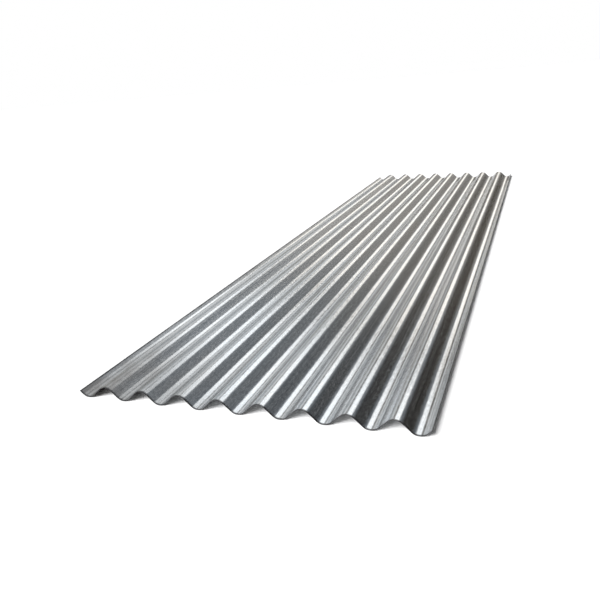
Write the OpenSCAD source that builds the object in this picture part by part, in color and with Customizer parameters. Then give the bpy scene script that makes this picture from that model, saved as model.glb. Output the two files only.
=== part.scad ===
// Corrugated galvanised steel sheet, rolled from one piece of flat strip and cut square at both ends.
// It lies flat as stored: X runs across the waves, Y along them and Z up. The origin is under the middle
// of the sheet, on the floor that its troughs rest on.

/* [Sheet] */
// Length of the sheet along its corrugations, mm
sheet_length = 2438.4; // [600:0.1:6000]
// Thickness of the steel, mm
thickness = 0.5; // [0.4:0.05:1.2]

/* [Corrugations] */
// Number of full crests across the sheet
crest_count = 8; // [3:1:12]
// Pitch from one crest to the next, mm
pitch = 76.2; // [65:0.1:100]
// Depth from the underside of a trough to the top of a crest, mm
depth = 23; // [14:0.5:30]
// Radius of each bend, at the middle of the thickness, mm
bend_radius = 18.5; // [8:0.5:20]

/* [Edges] */
// Reach of each turned-up long edge past the middle of its outer trough, mm
edge_reach = 19; // [17:0.5:22]

/* [Hidden] */
$fa = 3;
$fs = 0.5;

galvanised_grey = [0.72, 0.74, 0.75];

// What the bends and flanks share is rounded to whole steps, so that their ends meet exactly.
bend_step = 0.0001;
pitch_step = 0.001;
function rounded(size, step) = round(size / step) * step;
half_thickness = rounded(thickness / 2, bend_step);
half_pitch = rounded(pitch / 2, pitch_step);

// The wave is drawn on the middle of the thickness: arcs of one radius at the crests and troughs, and a
// straight flank between each two that touches both. At the largest radius no flank would be left.
wave_height = depth - thickness;
largest_radius = (half_pitch ^ 2 + wave_height ^ 2) / (4 * wave_height);
share_of_largest = 0.95;
radius = rounded(min(bend_radius, share_of_largest * largest_radius), bend_step);
centre_rise = 2 * radius - wave_height;
centre_distance = norm([half_pitch, centre_rise]);
flank_angle = atan2(half_pitch, centre_rise) - acos(2 * radius / centre_distance);
flank_length = sqrt(centre_distance ^ 2 - (2 * radius) ^ 2);
edge_flank_length = (edge_reach - radius * sin(flank_angle)) / cos(flank_angle);

// A square that is sure to cover half of a bend's full circle.
cutter_size = 4 * (radius + thickness);

// The left (-1) or right (1) half of a full turn of the sheet about the origin.
module half_ring(side)
    intersection() {
        difference() {
            circle(radius + half_thickness);
            circle(radius - half_thickness);
        }
        translate([side * cutter_size / 2, 0]) square(cutter_size, center = true);
    }

// A straight stretch of the sheet along X that ends at the origin.
module flank(length)
    translate([-length, -half_thickness]) square([length, 2 * half_thickness]);

// The sheet from the middle of a trough, on the Y axis, up to the left. An inner trough's flank runs on
// into a crest's bend, to the middle of that crest, and an outer trough's flank ends at the sheet's edge.
module left_of_trough(inner)
    intersection() {
        translate([0, radius + half_thickness]) rotate(-flank_angle) translate([0, -radius]) {
            translate([0, radius]) half_ring(1);
            flank(inner ? flank_length : edge_flank_length);
            if (inner) translate([-flank_length, -radius]) half_ring(-1);
        }
        translate([-half_pitch, -depth]) square([half_pitch, 3 * depth]);
    }

// The cut section in the XY plane, with the undersides of its troughs on Y = 0.
module section()
    for (side = [0, 1], trough = [0 : crest_count])
        mirror([side, 0])
            translate([(2 * trough - crest_count) * half_pitch, 0]) left_of_trough(trough > 0);

module corrugated_sheet()
    color(galvanised_grey)
        rotate([90, 0, 0]) linear_extrude(sheet_length, center = true) section();

corrugated_sheet();
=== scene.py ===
"""Dresses the corrugated galvanised steel sheet and sets the floor, the light and the camera."""
import math
import random

import bpy
from mathutils import Matrix, Vector


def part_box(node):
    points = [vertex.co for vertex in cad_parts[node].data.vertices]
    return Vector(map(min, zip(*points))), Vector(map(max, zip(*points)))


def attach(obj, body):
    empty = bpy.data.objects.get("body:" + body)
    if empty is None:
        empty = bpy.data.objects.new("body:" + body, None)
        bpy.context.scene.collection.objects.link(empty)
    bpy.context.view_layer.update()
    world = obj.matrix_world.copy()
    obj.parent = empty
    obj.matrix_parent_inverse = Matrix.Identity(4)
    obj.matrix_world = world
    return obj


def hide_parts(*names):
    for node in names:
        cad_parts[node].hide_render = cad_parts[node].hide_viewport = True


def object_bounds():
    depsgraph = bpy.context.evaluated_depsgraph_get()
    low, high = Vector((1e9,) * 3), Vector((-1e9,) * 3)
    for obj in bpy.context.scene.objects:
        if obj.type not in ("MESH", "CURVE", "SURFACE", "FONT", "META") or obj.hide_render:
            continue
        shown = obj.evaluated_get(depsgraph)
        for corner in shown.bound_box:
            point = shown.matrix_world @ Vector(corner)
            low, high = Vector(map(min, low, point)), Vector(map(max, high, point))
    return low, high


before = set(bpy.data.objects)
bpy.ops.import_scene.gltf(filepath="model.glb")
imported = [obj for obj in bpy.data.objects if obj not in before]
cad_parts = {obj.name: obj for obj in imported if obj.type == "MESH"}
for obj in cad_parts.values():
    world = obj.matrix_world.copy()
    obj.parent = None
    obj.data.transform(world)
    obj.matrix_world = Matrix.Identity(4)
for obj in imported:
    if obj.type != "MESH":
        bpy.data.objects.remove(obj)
CAD_LOW, CAD_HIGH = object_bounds()

# X runs across the sheet, Y along it away from the camera, and Z up. Lengths are in metres and colours are
# linear. A pair of numbers gives the two ends of a range, except for the edges of the cards.

# The sheet's section, as in the part's source.
NODE = "corrugated_sheet"
CREST_COUNT = 8
PITCH = 0.0762
BEND_RADIUS = 0.0185
THICKNESS = 0.0005

# How finely the sheet is meshed, and the angle in degrees from which an edge is sharp.
BEND_STEPS = 28
FLANK_STEPS = 3
LENGTH_STEPS = 56
SHARP_ANGLE = 40.0

# Slight unevenness of the rolled sheet: a sum of waves, each so many radians a metre across and along.
UNEVEN_SEED = 7
UNEVEN_WAVES = 6
UNEVEN_HEIGHT = 0.00003
UNEVEN_ACROSS = (40.0, 110.0)
UNEVEN_ALONG = (3.0, 11.0)

# The noises in the steel: cycles a metre across, along and up, and then the detail.
STREAKS = ((250.0, 0.5, 250.0), 3.0)
LINES = ((900.0, 1.2, 900.0), 2.0)
TINTS = ((30.0, 3.2, 30.0), 2.0)
PATCHES = ((34.0, 14.0, 34.0), 3.0)
GRAIN = ((340.0, 110.0, 340.0), 2.0)
MARKS = ((85.0, 0.12, 85.0), 1.0)
MARK_FADING = ((16.0, 2.0, 16.0), 2.0)
BURR = ((900.0, 900.0, 900.0), 3.0)
SPANGLE_SCALE = 190.0

# Noise lies about its middle value. Each takes effect over its own range of values.
NOISE_MIDDLE = 0.5
STREAK_RANGE = (0.25, 0.75)
TINT_RANGE = (0.35, 0.65)
GRAIN_RANGE = (0.30, 0.70)
MARK_FADING_RANGE = (0.42, 0.62)
WEAR_SHADOW_RANGE = (0.2, 0.8)
DULL_SHADE_RANGE = (0.3, 0.7)
BURR_RANGE = (0.3, 0.7)

# Ranges that rise from 0 to 1 and fall from 1 to 0.
FULL_RANGE = (0.0, 1.0)
FALLING = (1.0, 0.0)

# The zinc's colours, the tint of its glancing reflections, and what shades and roughens it.
ZINC_COOL = (0.685, 0.704, 0.722, 1.0)
ZINC_WARM = (0.701, 0.706, 0.709, 1.0)
# Darker zinc for the near left corner, as painted shade that dims its reflections there.
ZINC_DULL_SHADE = (0.28, 0.262, 0.248, 1.0)
# Near-black zinc for the edges: worn zinc, and partly a painted shadow that outlines the sheet.
ZINC_WORN_SHADOW = (0.075, 0.075, 0.078, 1.0)
ZINC_GLANCING = (0.79, 0.79, 0.79, 1.0)
STREAK_SHADE = (0.91, 1.055)
GRAIN_SHADE = (0.90, 1.075)
SPANGLE_SHADE = (0.98, 1.02)
MARK_SHADE = (1.0, 0.80)
GRAIN_ROUGHNESS = (0.166, 0.234)
STREAK_ROUGHNESS = (-0.02, 0.04)
WORN_ROUGHNESS = 0.09

# The zinc's fine relief: the share of each noise in it, its depth and its strength.
LINE_RELIEF = 0.25
GRAIN_RELIEF = 0.03
MARK_RELIEF = 0.15
RELIEF_DEPTH = 0.00006
RELIEF_STRENGTH = 0.25

# Roll marks: how far the noise strays from its middle on a mark, and how they weaken from left to right.
MARK_WIDTH = 0.022
MARK_ACROSS = (-0.20, 0.15)
MARK_STRENGTH = (1.0, 0.3)

# Worn zinc along the edges, partly a painted shadow that outlines the sheet, runs in from them. A distance
# from a cut end counts for less, so it runs further in there.
WEAR_SHADOW_END_SHARE = 0.6
WEAR_SHADOW_RAGGED = (-0.0004, 0.0008)
WEAR_SHADOW_REACH = (0.0013, 0.0036)
WEAR_SHADOW_STRENGTH = (0.95, 0.0)

# The near left corner: darker as painted shade that dims its reflections there, and rougher.
DULL_SHADE_WIDTH = 0.30
DULL_SHADE_LENGTH = 0.40
DULL_SHADE_STRENGTH = (0.45, 0.9)

# The cut rim, near black: partly a painted shadow line along the edge.
RIM_DARK = (0.05, 0.05, 0.052, 1.0)
RIM_LIGHT = (0.15, 0.15, 0.155, 1.0)
RIM_ROUGHNESS = (0.45, 0.65)

# The floor, and the even light of the world on all that isn't a mirror.
FLOOR_SIZE = 120.0
FLOOR_WHITE = (0.92, 0.92, 0.92, 1.0)
WORLD_LEVEL = 0.06

# The key light: its strength, its width in degrees and the direction that it shines from.
KEY_STRENGTH = 5.6
KEY_ANGLE = 36.0
KEY_FROM = (-0.28, -0.70, 0.62)

# The two soft panels overhead, beyond the sheet, with a gap between them.
PANEL_HEIGHT = 4.0
PANEL_LEFT = -1.60
PANEL_RIGHT = 1.75
PANEL_START = 3.4
PANEL_GAP = (6.45, 7.9)
PANEL_END = 30.0
PANEL_WHITE = 1.38
PANEL_TINT = (0.965, 1.0, 1.035)
PANEL_FAR_WHITE = 1.72
PANEL_FAR_TINT = (1.03, 1.0, 0.95)

# The long edges of the cards that the sheet mirrors, as X and Z, and where most of the cards end along Y.
LOW_CARD_RIGHT = (-0.37, 0.72)
LOW_CARD_LEFT = (-3.0, 0.72)
SIDE_CARD_FOOT = (-3.01, 0.0)
TOP_CARD_LEFT = (-6.0, 4.1)
TOP_CARD_RIGHT = (PANEL_RIGHT, 4.1)
DARK_CARD_FOOT = (6.5, 0.0)
CARD_ENDS = (-60.0, 60.0)

# The grey cards: a grey that drifts between two tints, in radians a metre, and darkens along Y.
GREY_BLUE = (0.51, 0.545, 0.575, 1.0)
GREY_OLIVE = (0.54, 0.55, 0.525, 1.0)
GREY_FAR = (0.12, 0.10, 0.075, 1.0)
GREY_FAR_Y = (1.0, 9.0)
DRIFT_ACROSS = 2.3
DRIFT_ALONG = 1.7

# The low card: lighter towards the sheet, with a border along its edge.
LIGHT_GREY = (0.90, 0.92, 0.93, 1.0)
LIGHT_X = (-1.25, -0.70)
LIGHT_FAR_Y = (1.6, 7.0)
BORDER_DARK = (0.19, 0.195, 0.20, 1.0)
BORDER_GREY = (0.42, 0.43, 0.44, 1.0)
BORDER_WHITE = (1.1, 1.1, 1.1, 1.0)
BORDER_X = (-0.58, -0.37)
BORDER_GREY_Y = (-0.2, 0.5)
BORDER_WHITE_Y = (2.5, 5.5)

# The dark card, from its top edge down, near by and far away.
RIGHT_EDGE = (0.56, 0.585, 0.605, 1.0)
RIGHT_GREY = (0.21, 0.232, 0.255, 1.0)
RIGHT_DARK = (0.034, 0.033, 0.032, 1.0)
RIGHT_X = (2.2, 4.4)
RIGHT_FAR_EDGE = (0.46, 0.44, 0.415, 1.0)
RIGHT_FAR_GREY = (0.46, 0.436, 0.402, 1.0)
RIGHT_FAR_DARK = (0.082, 0.068, 0.055, 1.0)
RIGHT_FAR_X = (2.8, 4.7)
RIGHT_FAR_Y = (5.0, 14.0)

# The pale card over the sheet.
PALE_WHITE = (1.1, 1.1, 1.1, 1.0)
PALE_FAR_Y = (0.9, 2.6)

# The camera, fitted to the two cut ends of the sheet in the photograph. Angles are in degrees, and the lens
# and the sensor in millimetres.
CAMERA_TARGET = (-0.1201, -0.6523, 0.0)
CAMERA_DISTANCE = 1.6083
CAMERA_AZIMUTH = 22.347
CAMERA_ELEVATION = 18.919
CAMERA_ROLL = -4.963
CAMERA_LENS = 38.131
CAMERA_SENSOR = 36.0
CAMERA_SHIFT = 0.0167

# The Mix node's sockets for colours, which share their names with those for numbers.
MIX_SHARE = 0
MIX_FIRST = 6
MIX_SECOND = 7
MIX_RESULT = 2


class Nodes:
    """Adds and joins the nodes of one node tree."""

    def __init__(self, tree):
        self.tree = tree
        tree.nodes.clear()

    def add(self, kind, inputs=None, **settings):
        """A new node. An input is a plain value or another node's output socket."""
        node = self.tree.nodes.new(kind)
        for name, value in settings.items():
            setattr(node, name, value)
        for name, value in (inputs or {}).items():
            socket = node.inputs[name]
            if isinstance(value, bpy.types.NodeSocket):
                self.tree.links.new(value, socket)
            else:
                socket.default_value = value
        return node

    def shader(self, kind, inputs, output="ShaderNodeOutputMaterial"):
        """Adds the shader that the tree shows."""
        shader = self.add(kind, inputs)
        self.add(output, {"Surface": shader.outputs[0]})

    def place(self):
        """The point on the surface. It is in the scene's frame, because each object sits at the origin."""
        return self.add("ShaderNodeTexCoord").outputs["Object"]

    def across_and_along(self, place):
        """The X and Y of a point."""
        parts = self.add("ShaderNodeSeparateXYZ", {0: place})
        return parts.outputs[0], parts.outputs[1]

    def math(self, operation, first, *others):
        """Applies an operation to the first value and each of the others in turn."""
        result = first
        for other in others or (0.0,):
            result = self.add("ShaderNodeMath", {0: result, 1: other}, operation=operation).outputs[0]
        return result

    def between(self, value, span, result=FULL_RANGE):
        """Maps value smoothly from the two ends of span to the two ends of result, and holds it there."""
        inputs = dict(enumerate((value, *span, *result)))
        return self.add("ShaderNodeMapRange", inputs, interpolation_type="SMOOTHSTEP").outputs[0]

    def noise(self, place, scale, detail):
        """Smooth noise, with its own scale along each axis."""
        mapping = self.add("ShaderNodeMapping", {"Vector": place, "Scale": scale}, vector_type="POINT")
        inputs = {"Vector": mapping.outputs[0], "Scale": 1.0, "Detail": detail}
        return self.add("ShaderNodeTexNoise", inputs).outputs["Fac"]

    def mix(self, share, first, second, blend="MIX"):
        """A mix of two colours."""
        inputs = {MIX_SHARE: share, MIX_FIRST: first, MIX_SECOND: second}
        node = self.add("ShaderNodeMix", inputs, data_type="RGBA", blend_type=blend)
        return node.outputs[MIX_RESULT]


def new_material(name):
    """A new material, and the nodes to make it with."""
    material = bpy.data.materials.new(name)
    material.use_nodes = True
    return material, Nodes(material.node_tree)


def new_object(name, data):
    """A new object in the scene, at the origin."""
    new = bpy.data.objects.new(name, data)
    bpy.context.scene.collection.objects.link(new)
    return new


def galvanised_steel():
    """Bright zinc with rolling lines and marks, sandy grain, faint tints, darkened edges and a darkened
    near left corner: worn zinc and painted shadow at the edges, painted shade and roughness in the corner.
    """
    material, nodes = new_material("galvanised_steel")
    place = nodes.place()
    streaks = nodes.noise(place, *STREAKS)
    patches = nodes.noise(place, *PATCHES)
    grain = nodes.noise(place, *GRAIN)
    marks = roll_marks(nodes, place)
    wear_and_shadow = edge_wear_and_shadow(nodes, place, patches)
    dull_shade = dull_shaded_corner(nodes, place, patches)

    colour = zinc_colour(nodes, place, streaks, grain, marks)
    # Painted shade darkens the zinc towards the near left corner.
    colour = nodes.mix(dull_shade, colour, ZINC_DULL_SHADE)
    # The edges turn near black: worn zinc, and partly a painted shadow outline.
    colour = nodes.mix(wear_and_shadow, colour, ZINC_WORN_SHADOW)
    rough = nodes.math("ADD",
                       nodes.between(grain, GRAIN_RANGE, GRAIN_ROUGHNESS),
                       nodes.between(streaks, STREAK_RANGE, STREAK_ROUGHNESS),
                       nodes.math("MULTIPLY", nodes.math("MAXIMUM", dull_shade, wear_and_shadow), WORN_ROUGHNESS))
    normal = zinc_relief(nodes, place, grain, marks)
    inputs = {"Base Color": colour, "Roughness": rough, "Metallic": 1.0, "Normal": normal,
              "Specular Tint": ZINC_GLANCING}
    nodes.shader("ShaderNodeBsdfPrincipled", inputs)
    return material


def zinc_colour(nodes, place, streaks, grain, marks):
    """Zinc in cool and warm tints, shaded by its streaks, grain, spangle and roll marks."""
    tints = nodes.between(nodes.noise(place, *TINTS), TINT_RANGE)
    cells = nodes.add("ShaderNodeTexVoronoi", {"Vector": place, "Scale": SPANGLE_SCALE}).outputs["Color"]
    spangle = nodes.add("ShaderNodeSeparateColor", {0: cells}).outputs[0]
    shade = nodes.math("MULTIPLY",
                       nodes.between(streaks, STREAK_RANGE, STREAK_SHADE),
                       nodes.between(grain, GRAIN_RANGE, GRAIN_SHADE),
                       nodes.between(spangle, FULL_RANGE, SPANGLE_SHADE),
                       nodes.between(marks, FULL_RANGE, MARK_SHADE))
    grey = nodes.add("ShaderNodeCombineColor", {0: shade, 1: shade, 2: shade}).outputs[0]
    return nodes.mix(1.0, nodes.mix(tints, ZINC_COOL, ZINC_WARM), grey, "MULTIPLY")


def zinc_relief(nodes, place, grain, marks):
    """The zinc's normal, with fine rolling lines and grain raised and the roll marks sunk."""
    lines = nodes.math("MULTIPLY", nodes.noise(place, *LINES), LINE_RELIEF)
    raised = nodes.math("ADD", lines, nodes.math("MULTIPLY", grain, GRAIN_RELIEF))
    relief = nodes.math("SUBTRACT", raised, nodes.math("MULTIPLY", marks, MARK_RELIEF))
    inputs = {"Height": relief, "Strength": RELIEF_STRENGTH, "Distance": RELIEF_DEPTH}
    return nodes.add("ShaderNodeBump", inputs).outputs[0]


def roll_marks(nodes, place):
    """Thin dark lines that the rolls leave along the sheet: 0 beside a line and up to 1 on it."""
    stray = nodes.math("ABSOLUTE", nodes.math("SUBTRACT", nodes.noise(place, *MARKS), NOISE_MIDDLE))
    line = nodes.between(stray, (0.0, MARK_WIDTH), FALLING)
    fading = nodes.between(nodes.noise(place, *MARK_FADING), MARK_FADING_RANGE)
    across, _ = nodes.across_and_along(place)
    return nodes.math("MULTIPLY", line, fading, nodes.between(across, MARK_ACROSS, MARK_STRENGTH))


def edge_wear_and_shadow(nodes, place, patches):
    """Where the zinc turns near black along the cut ends and the long edges, partly as worn zinc and partly
    as a painted shadow that outlines the sheet: near 1 on the edge and 0 inside.
    """
    across, along = nodes.across_and_along(place)
    from_side = nodes.math("SUBTRACT", CAD_HIGH.x, nodes.math("ABSOLUTE", across))
    from_end = nodes.math("SUBTRACT", CAD_HIGH.y, nodes.math("ABSOLUTE", along))
    inside = nodes.math("MINIMUM", from_side, nodes.math("MULTIPLY", from_end, WEAR_SHADOW_END_SHARE))
    ragged = nodes.math("ADD", inside, nodes.between(patches, WEAR_SHADOW_RANGE, WEAR_SHADOW_RAGGED))
    return nodes.between(ragged, WEAR_SHADOW_REACH, WEAR_SHADOW_STRENGTH)


def dull_shaded_corner(nodes, place, patches):
    """Where the zinc is darker and rougher towards the sheet's near left corner, the darkening a painted
    shade that dims its reflections: 0 for bright and 1 for fully darkened.
    """
    across, along = nodes.across_and_along(place)
    left = nodes.between(across, (CAD_LOW.x, CAD_LOW.x + DULL_SHADE_WIDTH), FALLING)
    near = nodes.between(along, (CAD_LOW.y, CAD_LOW.y + DULL_SHADE_LENGTH), FALLING)
    return nodes.math("MULTIPLY", left, near, nodes.between(patches, DULL_SHADE_RANGE, DULL_SHADE_STRENGTH))


def cut_edge_steel():
    """The sheared rim of the sheet: steel, near black and rougher than the zinc, its darkness partly a
    painted shadow line along the edge.
    """
    material, nodes = new_material("cut_edge")
    burr = nodes.noise(nodes.place(), *BURR)
    # Near-black steel, partly a painted shadow line along the cut edge.
    colour = nodes.mix(nodes.between(burr, BURR_RANGE), RIM_DARK, RIM_LIGHT)
    rough = nodes.between(burr, BURR_RANGE, RIM_ROUGHNESS)
    nodes.shader("ShaderNodeBsdfPrincipled", {"Base Color": colour, "Roughness": rough, "Metallic": 1.0})
    return material


def wave_section(low, high):
    """Points on the middle of the thickness from left to right, each as X, Z and the tilt of its normal."""
    half_thickness = THICKNESS / 2
    half_pitch = PITCH / 2
    bottom = low.z + half_thickness
    wave_height = high.z - low.z - THICKNESS
    rise = 2 * BEND_RADIUS - wave_height
    distance = math.hypot(half_pitch, rise)
    lean = math.atan2(half_pitch, rise) - math.acos(2 * BEND_RADIUS / distance)
    outer_trough = CREST_COUNT * half_pitch
    reach = high.x - outer_trough - half_thickness * math.sin(lean)
    flank_rise = (reach - BEND_RADIUS * math.sin(lean)) * math.tan(lean)
    edge_x = outer_trough + reach
    edge_z = bottom + BEND_RADIUS * (1 - math.cos(lean)) + flank_rise

    points = [(-edge_x, edge_z, lean)]
    for index in range(2 * CREST_COUNT + 1):
        is_crest = index % 2 == 1
        centre_x = index * half_pitch - outer_trough
        centre_z = bottom + (wave_height - BEND_RADIUS if is_crest else BEND_RADIUS)
        arc = bend(centre_x, centre_z, 1 if is_crest else -1, lean)
        points += straight(points[-1], arc[0])
        points += arc
    right_edge = (edge_x, edge_z, -lean)
    return points + straight(points[-1], right_edge) + [right_edge]


def bend(centre_x, centre_z, side, lean):
    """The points of one bend: of a crest where side is 1, and of a trough where it is -1."""
    points = []
    for step in range(BEND_STEPS + 1):
        angle = lean * (2 * step / BEND_STEPS - 1)
        x = centre_x + BEND_RADIUS * math.sin(angle)
        z = centre_z + side * BEND_RADIUS * math.cos(angle)
        points.append((x, z, side * angle))
    return points


def straight(start, end):
    """The points inside a flank, between its two ends."""
    inside = []
    for step in range(1, FLANK_STEPS):
        share = step / FLANK_STEPS
        x = start[0] + share * (end[0] - start[0])
        z = start[1] + share * (end[1] - start[1])
        inside.append((x, z, end[2]))
    return inside


def unevenness():
    """A function of X and Y that lifts the sheet by hundredths of a millimetre, as rolling leaves it."""
    draw = random.Random(UNEVEN_SEED)
    waves = []
    for _ in range(UNEVEN_WAVES):
        across = draw.uniform(*UNEVEN_ACROSS)
        along = draw.uniform(*UNEVEN_ALONG)
        waves.append((across, along, draw.uniform(0.0, 2 * math.pi)))

    def lift(x, y):
        return UNEVEN_HEIGHT * sum(math.sin(a * x + b * y + c) for a, b, c in waves) / UNEVEN_WAVES

    return lift


def sheet_points(section, low, high):
    """The section's points, row by row along the sheet, on its top and then on its underside."""
    lift = unevenness()
    points = []
    for side in (1, -1):
        offset = side * THICKNESS / 2
        for row in range(LENGTH_STEPS + 1):
            y = low.y + (high.y - low.y) * row / LENGTH_STEPS
            for x, z, tilt in section:
                points.append((x + offset * math.sin(tilt), y, z + offset * math.cos(tilt) + lift(x, y)))
    return points


def sheet_faces(count):
    """The faces of the top and the underside, and then those of the rim, for rows of count points."""
    def top(row, column):
        return row * count + column

    def under(row, column):
        return (LENGTH_STEPS + 1 + row) * count + column

    skin = []
    for row in range(LENGTH_STEPS):
        for column in range(count - 1):
            corners = ((row, column), (row, column + 1), (row + 1, column + 1), (row + 1, column))
            skin.append([top(*corner) for corner in corners])
            skin.append([under(*corner) for corner in reversed(corners)])

    ring = [(0, column) for column in range(count - 1)]
    ring += [(row, count - 1) for row in range(LENGTH_STEPS)]
    ring += [(LENGTH_STEPS, column) for column in range(count - 1, 0, -1)]
    ring += [(row, 0) for row in range(LENGTH_STEPS, 0, -1)]
    rim = []
    for start, end in zip(ring, ring[1:] + ring[:1]):
        rim.append([under(*start), under(*end), top(*end), top(*start)])
    return skin, rim


def sheet_piece(steel, cut_edge):
    """The sheet as a closed shell: a smooth top and underside, joined by the cut rim."""
    low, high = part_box(NODE)
    section = wave_section(low, high)
    skin, rim = sheet_faces(len(section))
    mesh = bpy.data.meshes.new("sheet")
    mesh.from_pydata(sheet_points(section, low, high), [], skin + rim)
    mesh.materials.append(steel)
    mesh.materials.append(cut_edge)
    for face in mesh.polygons:
        in_skin = face.index < len(skin)
        face.use_smooth = in_skin
        face.material_index = 0 if in_skin else 1
    mesh.set_sharp_from_angle(angle=math.radians(SHARP_ANGLE))
    mesh.validate()
    piece = new_object("sheet", mesh)
    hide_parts(NODE)
    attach(piece, "root")


def flat_card(name, corners, material):
    """A four-cornered stage card."""
    mesh = bpy.data.meshes.new(name)
    mesh.from_pydata(corners, [], [(0, 1, 2, 3)])
    mesh.materials.append(material)
    card = new_object(name, mesh)
    return card


def white_floor():
    """A plain white floor that is lit by the lamps and keeps the sheet's shadow."""
    material, nodes = new_material("floor")
    inputs = {"Base Color": FLOOR_WHITE, "Roughness": 1.0, "Specular IOR Level": 0.0}
    nodes.shader("ShaderNodeBsdfPrincipled", inputs)
    far = FLOOR_SIZE / 2
    corners = [(-far, -far, 0.0), (far, -far, 0.0), (far, far, 0.0), (-far, far, 0.0)]
    flat_card("floor", corners, material)


def reflection_card(name, edge, other_edge, colour, ends=CARD_ENDS):
    """A long card that only reflections show. Its colour is plain, or made from X and Y by a function."""
    material, nodes = new_material(name)
    shown = colour(nodes, *nodes.across_and_along(nodes.place())) if callable(colour) else colour
    nodes.shader("ShaderNodeEmission", {"Color": shown, "Strength": 1.0})
    material.cycles.emission_sampling = "NONE"
    (x, z), (other_x, other_z) = edge, other_edge
    start, end = ends
    corners = [(x, start, z), (other_x, start, other_z), (other_x, end, other_z), (x, end, z)]
    card = flat_card(name, corners, material)
    card.visible_camera = False
    card.visible_diffuse = False
    card.visible_shadow = False
    card.visible_transmission = False


def drifting_grey(nodes, x, y):
    """Grey that drifts between blue and olive, and is darker far away."""
    along = nodes.math("MULTIPLY", y, DRIFT_ALONG)
    across = nodes.math("MULTIPLY", x, DRIFT_ACROSS)
    drift = nodes.math("SINE", nodes.math("ADD", along, across))
    near = nodes.mix(nodes.between(drift, (-1.0, 1.0)), GREY_BLUE, GREY_OLIVE)
    return nodes.mix(nodes.between(y, GREY_FAR_Y), near, GREY_FAR)


def low_card_colour(nodes, x, y):
    """Grey, lighter near by towards the sheet, with a border that is dark near by and white far away."""
    light = nodes.mix(nodes.between(y, LIGHT_FAR_Y), LIGHT_GREY, GREY_FAR)
    shown = nodes.mix(nodes.between(x, LIGHT_X), drifting_grey(nodes, x, y), light)
    border = nodes.mix(nodes.between(y, BORDER_GREY_Y), BORDER_DARK, BORDER_GREY)
    border = nodes.mix(nodes.between(y, BORDER_WHITE_Y), border, BORDER_WHITE)
    return nodes.mix(nodes.between(x, BORDER_X), shown, border)


def dark_card_colour(nodes, x, y):
    """Light at the top edge, grey below it and dark further down, cool near by and warm far away."""
    below = nodes.between(x, (PANEL_RIGHT, RIGHT_X[0]))
    near = nodes.mix(below, RIGHT_EDGE, RIGHT_GREY)
    near = nodes.mix(nodes.between(x, RIGHT_X), near, RIGHT_DARK)
    far = nodes.mix(below, RIGHT_FAR_EDGE, RIGHT_FAR_GREY)
    far = nodes.mix(nodes.between(x, RIGHT_FAR_X), far, RIGHT_FAR_DARK)
    return nodes.mix(nodes.between(y, RIGHT_FAR_Y), near, far)


def pale_card_colour(nodes, _, y):
    """Pale over the sheet, and grey towards its far end."""
    return nodes.mix(nodes.between(y, PALE_FAR_Y), PALE_WHITE, GREY_BLUE)


def studio_cards():
    """The grey, dark, white and pale cards round the sheet, which it mirrors besides the panels."""
    reflection_card("grey_card_low", LOW_CARD_RIGHT, LOW_CARD_LEFT, low_card_colour)
    reflection_card("grey_card_side", LOW_CARD_LEFT, SIDE_CARD_FOOT, drifting_grey)
    reflection_card("grey_card_top", TOP_CARD_LEFT, TOP_CARD_RIGHT, drifting_grey)
    reflection_card("dark_card", TOP_CARD_RIGHT, DARK_CARD_FOOT, dark_card_colour)
    left = (PANEL_LEFT, PANEL_HEIGHT)
    right = (PANEL_RIGHT, PANEL_HEIGHT)
    white = (PANEL_WHITE, PANEL_WHITE, PANEL_WHITE, 1.0)
    reflection_card("white_card", left, right, white, (-PANEL_END, -PANEL_START))
    reflection_card("pale_card", left, right, pale_card_colour, (-PANEL_START, PALE_FAR_Y[1]))


def soft_panel(name, start, end, white, tint):
    """A long soft lamp overhead, beyond the far end of the sheet. white is how bright it shows."""
    width = PANEL_RIGHT - PANEL_LEFT
    length = end - start
    lamp = bpy.data.lights.new(name, "AREA")
    lamp.shape = "RECTANGLE"
    lamp.size = width
    lamp.size_y = length
    lamp.energy = white * math.pi * width * length
    lamp.color = tint
    panel = new_object(name, lamp)
    panel.location = ((PANEL_LEFT + PANEL_RIGHT) / 2, (start + end) / 2, PANEL_HEIGHT)


def key_light():
    """A soft light from the front and a little from the left, for the shadow on the floor."""
    lamp = bpy.data.lights.new("key", "SUN")
    lamp.energy = KEY_STRENGTH
    lamp.angle = math.radians(KEY_ANGLE)
    key = new_object("key", lamp)
    key.rotation_euler = Vector(KEY_FROM).to_track_quat("Z", "Y").to_euler()
    key.visible_glossy = False


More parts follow.
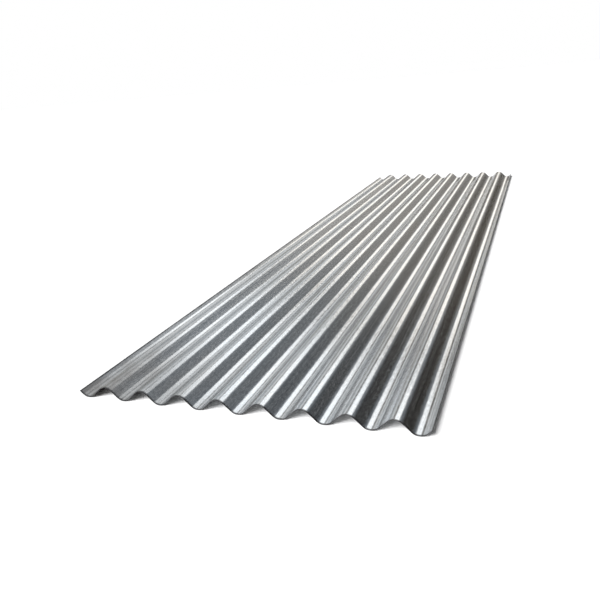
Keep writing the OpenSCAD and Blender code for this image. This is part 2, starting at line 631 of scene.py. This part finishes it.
def seen_as_background(nodes):
    """1 for the rays that show the background: those of the camera, of mirrors and of glass."""
    path = nodes.add("ShaderNodeLightPath")
    rays = ("Is Camera Ray", "Is Glossy Ray", "Is Transmission Ray")
    return nodes.math("MAXIMUM", *(path.outputs[ray] for ray in rays))


def studio_world():
    """A white background, and a low even light on everything else."""
    world = bpy.data.worlds.new("studio")
    world.use_nodes = True
    nodes = Nodes(world.node_tree)
    strength = nodes.between(seen_as_background(nodes), FULL_RANGE, (WORLD_LEVEL, 1.0))
    inputs = {"Color": (1.0, 1.0, 1.0, 1.0), "Strength": strength}
    nodes.shader("ShaderNodeBackground", inputs, "ShaderNodeOutputWorld")
    bpy.context.scene.world = world


def photo_camera():
    """The camera where it stood for the photograph."""
    azimuth = math.radians(CAMERA_AZIMUTH)
    elevation = math.radians(CAMERA_ELEVATION)
    flat = math.cos(elevation)
    back = Vector((math.sin(azimuth) * flat, -math.cos(azimuth) * flat, math.sin(elevation)))
    level_right = Vector((0.0, 0.0, 1.0)).cross(back).normalized()
    level_up = back.cross(level_right)
    roll = math.radians(CAMERA_ROLL)
    right = math.cos(roll) * level_right + math.sin(roll) * level_up
    up = math.cos(roll) * level_up - math.sin(roll) * level_right
    lens = bpy.data.cameras.new("photo_camera")
    lens.sensor_width = CAMERA_SENSOR
    lens.lens = CAMERA_LENS
    lens.shift_x = CAMERA_SHIFT
    camera = new_object("photo_camera", lens)
    turn = Matrix((right, up, back)).transposed().to_4x4()
    camera.matrix_world = Matrix.Translation(Vector(CAMERA_TARGET) + CAMERA_DISTANCE * back) @ turn
    bpy.context.scene.camera = camera


photo_camera()
sheet_piece(galvanised_steel(), cut_edge_steel())
white_floor()
studio_cards()
soft_panel("panel_near", PANEL_START, PANEL_GAP[0], PANEL_WHITE, PANEL_TINT)
soft_panel("panel_far", PANEL_GAP[1], PANEL_END, PANEL_FAR_WHITE, PANEL_FAR_TINT)
key_light()
studio_world()
bpy.context.scene.view_settings.view_transform = "Standard"
